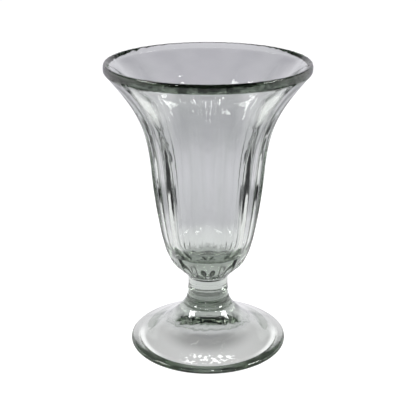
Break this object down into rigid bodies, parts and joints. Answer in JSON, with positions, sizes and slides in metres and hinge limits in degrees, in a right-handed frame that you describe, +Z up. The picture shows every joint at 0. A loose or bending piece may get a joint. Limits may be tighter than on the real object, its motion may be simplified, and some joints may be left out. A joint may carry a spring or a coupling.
{
  "type": "sundae glass",
  "caption": "Footed clear-glass sundae dish: a tall panelled bowl flaring to a rolled rim, on a collar, a short flared stem and a wide round foot.",
  "frame": {"origin": "centre of the foot's bearing ring, on the surface that the glass stands on", "axes": "+Z up along the axis of the glass, -Y out of the middle of a bowl panel"},
  "size_m": [0.102, 0.102, 0.15],
  "materials": {
    "bowl_glass": "clear pressed soda-lime glass, fire-polished, faint green in the thick rim",
    "collar_glass": "clear soda-lime glass, fire-polished",
    "stem_glass": "clear soda-lime glass, fire-polished",
    "foot_glass": "clear soda-lime glass, fire-polished, bearing ring lightly worn"
  },
  "bodies": {
    "root": {"bowl": "bowl_glass", "collar": "collar_glass", "stem": "stem_glass", "foot": "foot_glass"}
  },
  "joints": []
}
